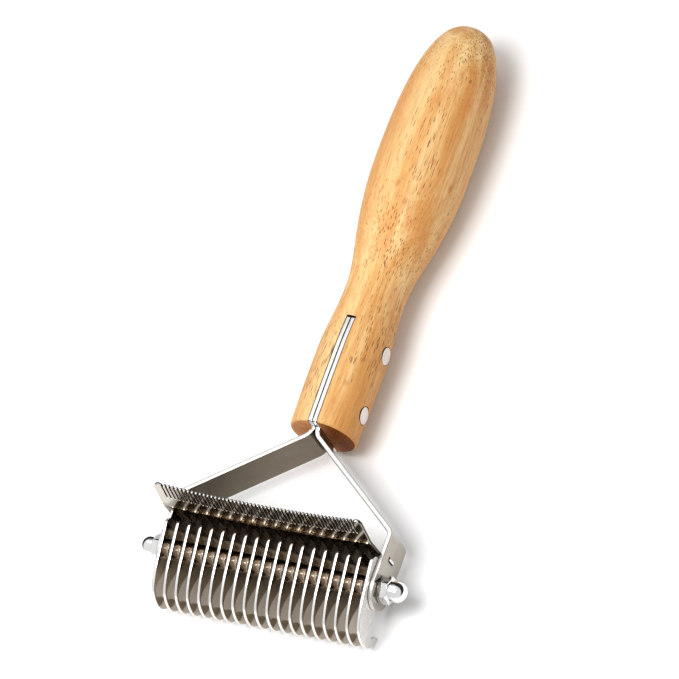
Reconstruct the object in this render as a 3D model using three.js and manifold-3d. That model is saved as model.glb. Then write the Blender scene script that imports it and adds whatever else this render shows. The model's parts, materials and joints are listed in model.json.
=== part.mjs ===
// A pet grooming rake: a turned beech handle holds a yoke of two bent steel arms, and between the
// arms a stack of hooked blades and spacers is clamped on an axle, under a fine comb plate.
//
// Everything is built upright in the tool's own axes, in millimetres: X along the axle, Y from the
// comb's teeth to the backs of the hooks, Z up the handle, with the origin at the middle of the axle.
// The last lines lay the whole tool on its back, on the hooks and the widest part of the handle.

import * as THREE from "three";
import { mergeVertices } from "three/addons/utils/BufferGeometryUtils.js";
import Module from "manifold-3d";

// ---- Driving dimensions, in millimetres and degrees ----

const BLADE_COUNT = 19;
const BLADE_PITCH = 4;
const BLADE_THICKNESS = 1;
const STACK_HALF_WIDTH = ((BLADE_COUNT - 1) * BLADE_PITCH + BLADE_THICKNESS) / 2;
const HOOK_BACK = { y: 11.9, z: -12.7 }; // where the hooks touch the table

const AXLE_RADIUS = 2.5; // M5 rod
const THREAD_CLEARANCE = 0.15; // round the rod, in every bore
const BORE_RADIUS = AXLE_RADIUS + THREAD_CLEARANCE;
const SPACER_RADIUS = 3.25;
const FINE_GAP = 0.04; // between faces that can part when a nut is loosened

const ARM_THICKNESS = 1.5;
const ARM_WIDTH = 14;
const ARM_OUTER_X = STACK_HALF_WIDTH + ARM_THICKNESS;
const SHOULDER = { z: 16.85, radius: 2.6 }; // outer bend
const NECK = { z: 44.8, radius: 4.3 }; // bend just below the handle
const TANG_TOP = 84.1;
const TANG_GAP = 0.06; // between the two tangs

const HANDLE_BOTTOM = 47;
const HANDLE_TOP = 193;
const HANDLE_RADIUS = 15.3; // at the widest place
const HANDLE_WIDEST = 143;
const DOME_POWER = 2.6; // of the round end's outline: 2 would be an ellipse
const DOME_STEPS = 10;
const BARREL = { low: 62, high: 74, radius: 11.35 }; // the straight stretch over the rivets
const WAIST = { z: 97, radius: 9.8 };
const WAIST_EASE = 8; // how far the outline stays upright into and out of each curve
const SWELL_START = 12;
const SWELL_END = 24;
const CURVE_STEPS = 8;
const HANDLE_SIDES = 24;
const SLOT_WIDTH = 3.3;
const SLOT_TOP = TANG_TOP + 0.8;

const RIVET_RADIUS = 3;
const RIVET_HEIGHTS = { rivet_lower: 56.4, rivet_upper: 77.6 };
const RIVET_LENGTH = 22.4;
const RIVET_CLEARANCE = 0.1;

const COMB_THICKNESS = 1;
const COMB_HALF_WIDTH = STACK_HALF_WIDTH - 0.2;
const COMB_REAR = { y: 7.3, z: 9.65 };
const COMB_FOLD = { y: -15, z: 8.65 }; // at both ends of the fold
const COMB_CORNER = { y: -27.4, z: 10.1 }; // front corner of the lip
const COMB_HOLLOW = 3.2; // how far the middle of the fold and of the teeth stands back from the ends
const COMB_SECTIONS = 12;
const COMB_CORNER_RADIUS = 1.8;
const TOOTH_LENGTH = 6.7;
const TOOTH_PITCH = 1.33;
const TOOTH_GAP = 0.55;
const TOOTH_GAP_COUNT = 51;
const TAB = { y: -1, width: 4, proud: 0.3 };
const TAB_SLOT = { width: 4.3, height: 1.5 };

const WASHER_RADIUS = 4.4;
const WASHER_THICKNESS = 0.5;
const NUT_ACROSS_FLATS = 8;
const NUT_HEX_HEIGHT = 2.8;
const NUT_TURN = 25; // of the tightened hexagon, from a flat facing the front
const NUT_HEIGHT = 8;
const DOME_RADIUS = 3.45;
const NUT_BORE_DEPTH = 6;
const ROD_IN_NUT = 5.2;
const WASHER_X = ARM_OUTER_X + FINE_GAP;
const NUT_X = WASHER_X + WASHER_THICKNESS + FINE_GAP;
const ROD_HALF_LENGTH = NUT_X + ROD_IN_NUT;

const ROUND_SIDES = 16; // of every small bore, collar and pin

// ---- Materials ----

const beech = new THREE.MeshStandardMaterial({ color: 0xd99a5b, roughness: 0.5, metalness: 0 });
const polishedSteel = new THREE.MeshStandardMaterial({ color: 0xc9c6c0, roughness: 0.16, metalness: 1 });
const bladeSteel = new THREE.MeshStandardMaterial({ color: 0xbdb8b0, roughness: 0.2, metalness: 1 });
const chrome = new THREE.MeshStandardMaterial({ color: 0xe2e2e4, roughness: 0.08, metalness: 1 });

// ---- Joining and cutting ----

const wasm = await Module();
wasm.setup();

// A closed geometry as a solid.
function solidOf(geometry) {
  const loose = geometry.index ? geometry.toNonIndexed() : geometry;
  const bare = new THREE.BufferGeometry();
  bare.setAttribute("position", loose.getAttribute("position"));
  const merged = mergeVertices(bare, 1e-4);
  const vertProperties = merged.attributes.position.array;
  const triVerts = new Uint32Array(merged.index.array);
  return new wasm.Manifold(new wasm.Mesh({ numProp: 3, vertProperties, triVerts }));
}

// A solid as a geometry again.
function geometryOf(solid) {
  const mesh = solid.getMesh();
  const geometry = new THREE.BufferGeometry();
  geometry.setAttribute("position", new THREE.BufferAttribute(mesh.vertProperties, 3));
  geometry.setIndex(new THREE.BufferAttribute(mesh.triVerts, 1));
  const faceted = geometry.toNonIndexed();
  faceted.computeVertexNormals();
  return faceted;
}

// ---- Basic shapes in the tool's axes ----

const X_AXIS = new THREE.Vector3(1, 0, 0);
const Y_AXIS = new THREE.Vector3(0, 1, 0);
const Z_AXIS = new THREE.Vector3(0, 0, 1);

function point(x, y) {
  return new THREE.Vector2(x, y);
}

function extrude(shape, depth) {
  return new THREE.ExtrudeGeometry(shape, { depth, bevelEnabled: false, curveSegments: ROUND_SIDES });
}

// A shape drawn in Y and Z, extruded along X from x0.
function alongX(shape, x0, depth) {
  const turn = new THREE.Matrix4().makeBasis(Y_AXIS, Z_AXIS, X_AXIS);
  return extrude(shape, depth).applyMatrix4(turn).translate(x0, 0, 0);
}

// A shape drawn in X and Z, extruded evenly to both sides along Y.
function alongY(shape, depth) {
  const turn = new THREE.Matrix4().makeBasis(X_AXIS, Z_AXIS, Y_AXIS.clone().negate());
  return extrude(shape, depth).applyMatrix4(turn).translate(0, depth / 2, 0);
}

// A round bar along X whose flats clear or fill the radius: bores are cut a little large.
function barAlongX(radius, x0, x1, sides = ROUND_SIDES) {
  const bar = new THREE.CylinderGeometry(radius, radius, x1 - x0, sides);
  return bar.rotateZ(-Math.PI / 2).translate((x0 + x1) / 2, 0, 0);
}

function boreAlongX(radius, x0, x1, sides = ROUND_SIDES) {
  return barAlongX(radius / Math.cos(Math.PI / sides), x0, x1, sides);
}

function boxBetween(x0, x1, y0, y1, z0, z1) {
  const box = new THREE.BoxGeometry(x1 - x0, y1 - y0, z1 - z0);
  return box.translate((x0 + x1) / 2, (y0 + y1) / 2, (z0 + z1) / 2);
}

// ---- Handle ----

// The round end's outline above the widest place, a quarter superellipse.
function domeOutline() {
  return Array.from({ length: DOME_STEPS }, (_, i) => {
    const k = i + 1;
    const turn = ((Math.PI / 2) * k) / DOME_STEPS;
    const across = k === DOME_STEPS ? 0 : Math.cos(turn) ** (2 / DOME_POWER);
    const along = Math.sin(turn) ** (2 / DOME_POWER);
    return point(HANDLE_RADIUS * across, HANDLE_WIDEST + (HANDLE_TOP - HANDLE_WIDEST) * along);
  });
}

// The turned outline from the bottom face to the round top, as radius and height.
function handleProfile() {
  const side = new THREE.Path();
  side.moveTo(0, HANDLE_BOTTOM);
  side.lineTo(9.7, HANDLE_BOTTOM);
  side.lineTo(10.6, HANDLE_BOTTOM + 0.4);
  side.lineTo(11.05, HANDLE_BOTTOM + 1.5);
  side.lineTo(BARREL.radius, BARREL.low);
  side.lineTo(BARREL.radius, BARREL.high);
  growTo(side, BARREL.radius, BARREL.high + WAIST_EASE, WAIST.z - WAIST_EASE, WAIST.radius, WAIST.z);
  growTo(side, WAIST.radius, WAIST.z + SWELL_START, HANDLE_WIDEST - SWELL_END, HANDLE_RADIUS, HANDLE_WIDEST);
  return [...side.getPoints(CURVE_STEPS), ...domeOutline()];
}

// A curve that leaves the last radius upright and reaches the next one upright.
function growTo(side, lastRadius, leaving, arriving, radius, z) {
  side.bezierCurveTo(lastRadius, leaving, radius, arriving, radius, z);
}

function turnedHandle() {
  return solidOf(new THREE.LatheGeometry(handleProfile(), HANDLE_SIDES).rotateX(Math.PI / 2));
}

// The rivets' holes, through the wood and both tangs.
function rivetHoles() {
  const reach = 2 * HANDLE_RADIUS;
  const hole = solidOf(boreAlongX(RIVET_RADIUS + RIVET_CLEARANCE, -reach, reach));
  return Object.values(RIVET_HEIGHTS).map((height) => hole.translate([0, 0, height]));
}

function handleGeometry() {
  const reach = 2 * HANDLE_RADIUS;
  const slot = boxBetween(-SLOT_WIDTH / 2, SLOT_WIDTH / 2, -reach, reach, HANDLE_BOTTOM - 5, SLOT_TOP);
  let body = turnedHandle().subtract(solidOf(slot));
  for (const hole of rivetHoles()) body = body.subtract(hole);
  return geometryOf(body);
}

// A pin with a small chamfer at both ends, across the handle.
function rivetGeometry() {
  const half = RIVET_LENGTH / 2;
  const chamfer = 0.3;
  const profile = [
    point(0, -half),
    point(RIVET_RADIUS - chamfer, -half),
    point(RIVET_RADIUS, -half + chamfer),
    point(RIVET_RADIUS, half - chamfer),
    point(RIVET_RADIUS - chamfer, half),
    point(0, half),
  ];
  return new THREE.LatheGeometry(profile, ROUND_SIDES).rotateZ(-Math.PI / 2);
}

// ---- Yoke arms ----
//
// Each arm is a strap bent out of its tang. The tang is wider than the strap: it fills the handle's
// slot from side to side and is turned flush with the wood.

// The middle line of a strip through the given corners, rounded at the inner ones. Each entry holds
// a place on the line and the unit normal to its left.
function bentLine(corners, radii, steps) {
  const line = [];
  const add = (place, direction) => line.push({ place, normal: point(-direction.y, direction.x) });
  const way = (from, to) => to.clone().sub(from).normalize();
  add(corners[0], way(corners[0], corners[1]));
  for (let i = 1; i < corners.length - 1; i++) {
    const before = way(corners[i - 1], corners[i]);
    const after = way(corners[i], corners[i + 1]);
    const turn = Math.atan2(before.cross(after), before.dot(after));
    const radius = radii[i - 1];
    const side = Math.sign(turn);
    const start = corners[i].clone().addScaledVector(before, -radius * Math.tan(Math.abs(turn) / 2));
    const centre = start.clone().addScaledVector(point(-before.y, before.x), side * radius);
    for (let k = 0; k <= steps; k++) {
      const angle = (turn * k) / steps;
      add(start.clone().rotateAround(centre, angle), before.clone().rotateAround(point(0, 0), angle));
    }
  }
  const last = corners.length - 1;
  add(corners[last], way(corners[last - 1], corners[last]));
  return line;
}

function stripShape(line, thickness) {
  const edge = (offset) => line.map(({ place, normal }) => place.clone().addScaledVector(normal, offset));
  return new THREE.Shape([...edge(thickness / 2), ...edge(-thickness / 2).reverse()]);
}

// The strap below the handle seen from the side: straight edges and a round end about the axle.
function armSideShape() {
  const half = ARM_WIDTH / 2;
  const shape = new THREE.Shape();
  shape.moveTo(half, HANDLE_BOTTOM + 1);
  shape.lineTo(-half, HANDLE_BOTTOM + 1);
  shape.lineTo(-half, 0);
  shape.absarc(0, 0, half, Math.PI, 2 * Math.PI);
  shape.closePath();
  return shape;
}

function armGeometry(side) {
  const tangX = (side * (TANG_GAP + ARM_THICKNESS)) / 2;
  const legX = side * (ARM_OUTER_X - ARM_THICKNESS / 2);
  const tang = [point(tangX, TANG_TOP), point(tangX, NECK.z)];
  const leg = [point(legX, SHOULDER.z), point(legX, -ARM_WIDTH)];
  const line = bentLine([...tang, ...leg], [NECK.radius, SHOULDER.radius], 4);
  const strip = solidOf(alongY(stripShape(line, ARM_THICKNESS), 3 * HANDLE_RADIUS));
  const reach = ARM_OUTER_X + 5;
  const strapOutline = solidOf(alongX(armSideShape(), -reach, 2 * reach));

  const [near, far] = [side * (STACK_HALF_WIDTH - 1), side * (ARM_OUTER_X + 1)].sort((a, b) => a - b);
  const [back, front] = [TAB.y + TAB_SLOT.width / 2, TAB.y - TAB_SLOT.width / 2];
  const [low, high] = [-1, 1].map((way) => combHeight(TAB.y) + (way * TAB_SLOT.height) / 2);
  const tabSlot = solidOf(boxBetween(near, far, front, back, low, high));
  const axleHole = solidOf(boreAlongX(BORE_RADIUS, near, far));

  let body = strip.intersect(strapOutline.add(turnedHandle()));
  for (const hole of [tabSlot, axleHole, ...rivetHoles()]) body = body.subtract(hole);
  return geometryOf(body);
}

// ---- Blades, spacers and axle ----

// One hooked blade seen from the side, with its axle hole.
function bladeShape() {
  const front = new THREE.SplineCurve([
    point(-8, 7.3),
    point(-9.3, 6.5),
    point(-10.2, 4.6),
    point(-8.9, -0.4),
    point(-7.7, -4.6),
    point(-6.3, -9.1),
    point(-3.2, -14.5),
    point(-0.3, -16.7),
    point(3.8, -17.8),
    point(7.7, -17.3),
    point(10.8, -15.1),
    point(HOOK_BACK.y, HOOK_BACK.z),
  ]);
  const throat = new THREE.SplineCurve([
    point(10.8, -11.9),
    point(9.3, -12.7),
    point(7.9, -13.8),
    point(5.6, -13.6),
    point(4.3, -12),
    point(4.3, -9.4),
    point(5.7, -5.2),
    point(7, 0),
  ]);
  const shape = new THREE.Shape([...front.getPoints(24), ...throat.getPoints(16), point(7, 7.6)]);
  const hole = new THREE.Path();
  const radius = BORE_RADIUS / Math.cos(Math.PI / ROUND_SIDES);
  for (let i = 0; i < ROUND_SIDES; i++) {
    const angle = (2 * Math.PI * i) / ROUND_SIDES;
    const corner = point(radius * Math.cos(angle), radius * Math.sin(angle));
    if (i === 0) hole.moveTo(corner.x, corner.y);
    else hole.lineTo(corner.x, corner.y);
  }
  hole.closePath();
  shape.holes.push(hole);
  return shape;
}

function bladeGeometry() {
  return alongX(bladeShape(), -BLADE_THICKNESS / 2, BLADE_THICKNESS);
}

// A ring about X, from x0 to x1, as a closed turned profile.
function ringGeometry(inner, outer, length) {
  const half = length / 2;
  const profile = [
    point(inner, -half),
    point(outer, -half),
    point(outer, half),
    point(inner, half),
    point(inner, -half),
  ];
  return new THREE.LatheGeometry(profile, ROUND_SIDES).rotateZ(-Math.PI / 2);
}

function spacerGeometry() {
  const bore = BORE_RADIUS / Math.cos(Math.PI / ROUND_SIDES);
  return ringGeometry(bore, SPACER_RADIUS, BLADE_PITCH - BLADE_THICKNESS);
}

function axleRodGeometry() {
  const chamfer = 0.5;
  const profile = [
    point(0, -ROD_HALF_LENGTH),
    point(AXLE_RADIUS - chamfer, -ROD_HALF_LENGTH),
    point(AXLE_RADIUS, -ROD_HALF_LENGTH + chamfer),
    point(AXLE_RADIUS, ROD_HALF_LENGTH - chamfer),
    point(AXLE_RADIUS - chamfer, ROD_HALF_LENGTH),
    point(0, ROD_HALF_LENGTH),
  ];
  return new THREE.LatheGeometry(profile, ROUND_SIDES).rotateZ(-Math.PI / 2);
}

// ---- Comb plate ----

// Height of the plate's middle surface above the axle, at y behind the fold.
function combHeight(y) {
  return COMB_FOLD.z + ((y - COMB_FOLD.y) * (COMB_REAR.z - COMB_FOLD.z)) / (COMB_REAR.y - COMB_FOLD.y);
}

// How far back from its ends the fold lies at x, and the teeth with it, on a shallow arc.
function combSetBack(x) {
  const radius = (COMB_HALF_WIDTH ** 2 + COMB_HOLLOW ** 2) / (2 * COMB_HOLLOW);
  return COMB_HOLLOW - (radius - Math.sqrt(radius ** 2 - x ** 2));
}

function combTip(x) {
  return COMB_CORNER.y + combSetBack(x);
}

// The plate from above: toothed front edge, side tabs and a straight rear edge.
function combPlanShape() {
  const outline = [];
  const corner = (side) => {
    const x = COMB_HALF_WIDTH - COMB_CORNER_RADIUS;
    const y = combTip(COMB_HALF_WIDTH) + COMB_CORNER_RADIUS;
    return [0, 30, 60, 90].map((degrees) => {
      const angle = THREE.MathUtils.degToRad(degrees);
      const out = COMB_CORNER_RADIUS * Math.cos(angle);
      const forward = COMB_CORNER_RADIUS * Math.sin(angle);
      return point(side * (x + out), y - forward);
    });
  };
  outline.push(...corner(-1));
  for (let i = 0; i < TOOTH_GAP_COUNT; i++) {
    const middle = (i - (TOOTH_GAP_COUNT - 1) / 2) * TOOTH_PITCH;
    const left = middle - TOOTH_GAP / 2;
    const right = middle + TOOTH_GAP / 2;
    const root = combTip(middle) + TOOTH_LENGTH;
    outline.push(point(left, combTip(left)), point(left, root));
    outline.push(point(right, root), point(right, combTip(right)));
  }
  outline.push(...corner(1).reverse());
  for (const side of [1, -1]) {
    const [inner, outer] = [side * COMB_HALF_WIDTH, side * (ARM_OUTER_X + TAB.proud)];
    const [front, back] = [TAB.y - TAB.width / 2, TAB.y + TAB.width / 2];
    const tab = [
      point(inner, front),
      point(outer, front),
      point(outer, back),
      point(inner, back),
      point(inner, COMB_REAR.y),
    ];
    outline.push(...(side > 0 ? tab : tab.reverse()));
  }
  return new THREE.Shape(outline);
}

// The middle line of the bent sheet at x, from behind the rear edge to ahead of the teeth.
function combSection(x) {
  const reach = 5;
  const setBack = combSetBack(Math.min(Math.abs(x), COMB_HALF_WIDTH));
  const back = point(COMB_REAR.y + reach, combHeight(COMB_REAR.y + reach));
  const fold = point(COMB_FOLD.y + setBack, combHeight(COMB_FOLD.y + setBack));
  const lip = point(COMB_CORNER.y - COMB_FOLD.y, COMB_CORNER.z - COMB_FOLD.z);
  return bentLine([back, fold, fold.clone().addScaledVector(lip, 1.3)], [6], 2);
}

// The bent sheet before its outline is cut: sections joined along X, with the fold on an arc.
function combSheet() {
  const half = ARM_OUTER_X + 1;
  const corners = [];
  for (let i = 0; i <= COMB_SECTIONS; i++) {
    const x = half * ((2 * i) / COMB_SECTIONS - 1);
    for (const { place, normal } of combSection(x)) {
      for (const side of [-1, 1]) {
        const corner = place.clone().addScaledVector(normal, (side * COMB_THICKNESS) / 2);
        corners.push(x, corner.x, corner.y);
      }
    }
  }
  const length = combSection(0).length;
  const at = (i, k, side) => 2 * (i * length + k) + side;
  const index = [];
  const quad = (a, b, c, d) => index.push(a, c, b, a, d, c);
  for (let i = 0; i < COMB_SECTIONS; i++) {
    for (let k = 0; k < length - 1; k++) {
      quad(at(i, k, 1), at(i, k + 1, 1), at(i + 1, k + 1, 1), at(i + 1, k, 1));
      quad(at(i, k, 0), at(i + 1, k, 0), at(i + 1, k + 1, 0), at(i, k + 1, 0));
    }
    quad(at(i, 0, 0), at(i, 0, 1), at(i + 1, 0, 1), at(i + 1, 0, 0));
    const last = length - 1;
    quad(at(i, last, 0), at(i + 1, last, 0), at(i + 1, last, 1), at(i, last, 1));
  }
  for (let k = 0; k < length - 1; k++) {
    quad(at(0, k, 0), at(0, k + 1, 0), at(0, k + 1, 1), at(0, k, 1));
    const end = COMB_SECTIONS;
    quad(at(end, k, 0), at(end, k, 1), at(end, k + 1, 1), at(end, k + 1, 0));
  }
  const sheet = new THREE.BufferGeometry();
  sheet.setAttribute("position", new THREE.Float32BufferAttribute(corners, 3));
  sheet.setIndex(index);
  return sheet;
}

function combGeometry() {
  const plan = solidOf(extrude(combPlanShape(), 30));
  return geometryOf(solidOf(combSheet()).intersect(plan));
}

// ---- Washers and cap nuts ----

function washerGeometry() {
  const bore = BORE_RADIUS / Math.cos(Math.PI / ROUND_SIDES);
  return ringGeometry(bore, WASHER_RADIUS, WASHER_THICKNESS).translate(WASHER_THICKNESS / 2, 0, 0);
}

// A cap nut whose seat is at x = 0 and whose dome points along +X.
function capNutGeometry() {
  const corner = NUT_ACROSS_FLATS / 2 / Math.cos(Math.PI / 6);
  const hex = barAlongX(corner, 0, NUT_HEX_HEIGHT, 6);
  const neck = NUT_HEIGHT - DOME_RADIUS;
  const foot = NUT_HEX_HEIGHT / 2;
  const profile = [point(0, foot), point(DOME_RADIUS, foot), point(DOME_RADIUS, neck)];
  for (const degrees of [22.5, 45, 67.5]) {
    const angle = THREE.MathUtils.degToRad(degrees);
    profile.push(point(DOME_RADIUS * Math.cos(angle), neck + DOME_RADIUS * Math.sin(angle)));
  }
  profile.push(point(0, NUT_HEIGHT));
  const dome = new THREE.LatheGeometry(profile, ROUND_SIDES).rotateZ(-Math.PI / 2);
  const bore = boreAlongX(BORE_RADIUS, -1, NUT_BORE_DEPTH);
  return geometryOf(solidOf(hex).add(solidOf(dome)).subtract(solidOf(bore)));
}

// ---- Assembly ----

function piece(name, geometry, material, x = 0) {
  const mesh = new THREE.Mesh(geometry, material);
  mesh.name = name;
  mesh.position.x = x;
  return mesh;
}

function numbered(stem, index) {
  return `${stem}_${String(index).padStart(2, "0")}`;
}

function bladeStack() {
  const stack = new THREE.Group();
  const blade = bladeGeometry();
  const spacer = spacerGeometry();
  const firstX = (-(BLADE_COUNT - 1) * BLADE_PITCH) / 2;
  for (let i = 0; i < BLADE_COUNT; i++) {
    const x = firstX + i * BLADE_PITCH;
    stack.add(piece(numbered("blade", i + 1), blade, bladeSteel, x));
    if (i < BLADE_COUNT - 1) {
      stack.add(piece(numbered("spacer", i + 1), spacer, polishedSteel, x + BLADE_PITCH / 2));
    }
  }
  stack.add(piece("axle_rod", axleRodGeometry(), polishedSteel));
  return stack;
}

// A washer and its cap nut at one end of the axle: side is 1 at the right end and -1 at the left.
function endFastener(name, side) {
  const end = new THREE.Group();
  end.add(piece(`washer_${name}`, washerGeometry(), polishedSteel, WASHER_X));
  const nut = piece(`cap_nut_${name}`, capNutGeometry(), chrome, NUT_X);
  nut.rotation.x = side * THREE.MathUtils.degToRad(NUT_TURN);
  end.add(nut);
  if (side < 0) end.rotation.z = Math.PI;
  return end;
}

function yokeAndHandle() {
  const group = new THREE.Group();
  group.add(piece("handle", handleGeometry(), beech));
  group.add(piece("yoke_arm_left", armGeometry(-1), polishedSteel));
  group.add(piece("yoke_arm_right", armGeometry(1), polishedSteel));
  for (const [name, height] of Object.entries(RIVET_HEIGHTS)) {
    const rivet = piece(name, rivetGeometry(), polishedSteel);
    rivet.position.z = height;
    group.add(rivet);
  }
  return group;
}

// Lay the tool on its back: the handle towards +Y, the comb's teeth up, and the backs of the hooks
// and the widest ring of the handle on the table. The origin is under the middle of its box.
const tool = new THREE.Group();
tool.add(yokeAndHandle());
tool.add(bladeStack());
tool.add(piece("comb_plate", combGeometry(), polishedSteel));
tool.add(endFastener("right", 1));
tool.add(endFastener("left", -1));
const lean = Math.atan2(HANDLE_RADIUS - HOOK_BACK.y, HANDLE_WIDEST - HOOK_BACK.z);
tool.rotation.x = lean - Math.PI / 2;

const box = new THREE.Box3().setFromObject(tool, true);
tool.position.set(0, -(box.min.y + box.max.y) / 2, -box.min.z);

const part = new THREE.Group();
part.add(tool);

export default part;
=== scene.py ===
"""Looks of the deshedding rake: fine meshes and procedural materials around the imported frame.

Shapes are drawn in the tool's own axes in millimetres, as a person would hold the tool upright: X along
the axle, Y from the comb's teeth to the backs of the hooks, Z up the handle, from the middle of the
axle. TOOL_TO_ROW then lays them on the table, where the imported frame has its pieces.
"""

import json
import math

import bmesh
import bpy
from mathutils import Matrix, Vector, noise


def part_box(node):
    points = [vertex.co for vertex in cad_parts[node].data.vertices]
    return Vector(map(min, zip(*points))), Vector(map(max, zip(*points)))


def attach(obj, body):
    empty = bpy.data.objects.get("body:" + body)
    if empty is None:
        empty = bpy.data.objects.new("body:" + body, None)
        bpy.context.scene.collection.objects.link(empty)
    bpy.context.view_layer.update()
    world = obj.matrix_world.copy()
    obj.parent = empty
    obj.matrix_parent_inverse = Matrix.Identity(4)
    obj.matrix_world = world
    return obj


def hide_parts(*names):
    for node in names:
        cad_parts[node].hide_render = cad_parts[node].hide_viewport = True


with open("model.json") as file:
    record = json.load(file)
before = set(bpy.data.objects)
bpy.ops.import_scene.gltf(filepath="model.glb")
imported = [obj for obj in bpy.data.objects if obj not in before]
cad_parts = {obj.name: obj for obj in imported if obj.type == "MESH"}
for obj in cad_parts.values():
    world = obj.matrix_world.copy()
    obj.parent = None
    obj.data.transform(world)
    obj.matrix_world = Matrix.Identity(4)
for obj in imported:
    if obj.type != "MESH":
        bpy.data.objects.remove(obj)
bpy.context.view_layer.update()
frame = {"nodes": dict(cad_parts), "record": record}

# ---- Where the tool lies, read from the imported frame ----

MM = 0.001


def middle(node):
    low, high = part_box(node)
    return (low + high) / 2


NUT_TURN = 25  # degrees from the front to the mount's flat on each hexagon


def tool_to_row():
    """The matrix from the tool's millimetres to the row frame's metres."""
    flat = Vector(frame["record"]["mounts"][0]["axis"]).normalized()
    front = Matrix.Rotation(math.radians(-NUT_TURN), 3, "X") @ flat
    x_axis = Vector((1, 0, 0))
    y_axis = -front
    z_axis = x_axis.cross(y_axis)
    turn = Matrix((x_axis, y_axis, z_axis)).transposed().to_4x4()
    return Matrix.Translation(middle("axle_rod")) @ turn @ Matrix.Scale(MM, 4)


TOOL_TO_ROW = tool_to_row()
ROW_TO_TOOL = TOOL_TO_ROW.inverted()


def span(node, axis):
    """Lowest and highest place of a CAD node along one of the tool's axes, in millimetres."""
    places = [(ROW_TO_TOOL @ v.co)[axis] for v in frame["nodes"][node].data.vertices]
    return min(places), max(places)


X, Y, Z = 0, 1, 2
HANDLE_BOTTOM, HANDLE_TOP = span("handle", Z)
GRIP_RADIUS = span("handle", X)[1]
ARM_INNER_X = span("blade_19", X)[1]
ARM_OUTER_X = ARM_INNER_X + 1.5
ARM_THICKNESS = ARM_OUTER_X - ARM_INNER_X
ARM_HALF_WIDTH = 7
TANG_TOP = span("yoke_arm_right", Z)[1]
ROD_HALF_LENGTH = span("axle_rod", X)[1]
RIVET_HEIGHTS = [sum(span(node, Z)) / 2 for node in ("rivet_lower", "rivet_upper")]
RIVET_HALF_LENGTH = span("rivet_lower", X)[1]
RIVET_RADIUS = 3
NUT_SEAT, NUT_TIP = span("cap_nut_right", X)
WASHER_SEAT, WASHER_OUT = span("washer_right", X)

# ---- Mesh helpers ----

SHARP = math.radians(34)


def mark_edges(bm, caps=()):
    """Smooth shading, broken at real edges and round the flat faces."""
    cap_faces = set(caps)
    for face in bm.faces:
        face.smooth = True
    for edge in bm.edges:
        if len(edge.link_faces) != 2:
            continue
        border = (edge.link_faces[0] in cap_faces) != (edge.link_faces[1] in cap_faces)
        edge.smooth = not border and edge.calc_face_angle(0) < SHARP


def face_out(bm):
    """Turns every face of a closed mesh outwards."""
    bmesh.ops.recalc_face_normals(bm, faces=bm.faces)
    if bm.calc_volume(signed=True) < 0:
        bmesh.ops.reverse_faces(bm, faces=bm.faces)
    bm.normal_update()


def piece(name, bm, materials, pick=None):
    """An object from a mesh in the tool's millimetres. pick gives each face its material's number."""
    bm.normal_update()
    if pick:
        for face in bm.faces:
            face.material_index = pick(face)
    bm.transform(TOOL_TO_ROW)
    mesh = bpy.data.meshes.new(name)
    bm.to_mesh(mesh)
    bm.free()
    for material in materials:
        mesh.materials.append(material)
    made = bpy.data.objects.new(name, mesh)
    bpy.context.scene.collection.objects.link(made)
    return made


def stand_in(made, body, slot, *nodes):
    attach(made, body)
    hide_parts(*nodes)


def loops_to_faces(bm, first, second, flip=False):
    count = len(first)
    for i in range(count):
        j = (i + 1) % count
        corners = [first[i], first[j], second[j], second[i]]
        bm.faces.new(reversed(corners) if flip else corners)


def inset(loop, distance):
    """A closed loop of 2-D points moved to its left by distance."""
    moved = []
    count = len(loop)
    for i, here in enumerate(loop):
        before = (here - loop[i - 1]).normalized()
        after = (loop[(i + 1) % count] - here).normalized()
        left = Vector((-before.y - after.y, before.x + after.x))
        half_turn = max(left.length / 2, 0.5)
        moved.append(here + left.normalized() * distance / half_turn)
    return moved


def plate(loops, thickness, bevel, steps=3):
    """A flat sheet with rounded edges. The first loop runs anticlockwise, and each hole clockwise.
    Returns the mesh in (a, b, height) and its flat faces."""
    bm = bmesh.new()
    half = thickness / 2
    turns = [math.pi / 2 * k / steps for k in range(steps + 1)]
    upper = [(bevel * (1 - math.cos(t)), half - bevel * (1 - math.sin(t))) for t in turns]
    levels = [(d, -h) for d, h in reversed(upper)] + upper
    top_edges, bottom_edges = [], []
    for loop in loops:
        rings = [[bm.verts.new((*p, h)) for p in inset(loop, d)] for d, h in levels]
        for first, second in zip(rings, rings[1:]):
            loops_to_faces(bm, first, second)
        for ring, edges in ((rings[0], bottom_edges), (rings[-1], top_edges)):
            edges.extend(bm.edges.get((ring[i - 1], ring[i])) for i in range(len(ring)))
    caps = []
    for edges, up in ((bottom_edges, -1), (top_edges, 1)):
        filled = bmesh.ops.triangle_fill(bm, use_beauty=True, edges=edges)
        for face in (g for g in filled["geom"] if isinstance(g, bmesh.types.BMFace)):
            face.normal_update()
            if face.normal.z * up < 0:
                face.normal_flip()
            caps.append(face)
    return bm, caps


def slice_across(bm, axis, places):
    """Cuts every face at the given places along axis, so that the sheet can bend there."""
    normal = [0, 0, 0]
    normal[axis] = 1
    for place in places:
        origin = [c * place for c in normal]
        everything = [*bm.verts, *bm.edges, *bm.faces]
        bmesh.ops.bisect_plane(bm, geom=everything, dist=1e-5, plane_co=origin, plane_no=normal)


def caps_of(bm, half):
    """The flat faces of a plate that lie at height half on either side."""
    return [f for f in bm.faces if all(abs(abs(v.co.z) - half) < 1e-5 for v in f.verts)]


def arc(cx, cy, radius, start, stop, steps):
    """Points on an arc, angles in degrees."""
    turns = [math.radians(start + (stop - start) * k / steps) for k in range(steps + 1)]
    return [Vector((cx + radius * math.cos(t), cy + radius * math.sin(t))) for t in turns]


def circle(cx, cy, radius, steps=40):
    """A hole's loop, clockwise."""
    return arc(cx, cy, radius, 0, -360, steps)[:-1]


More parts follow.
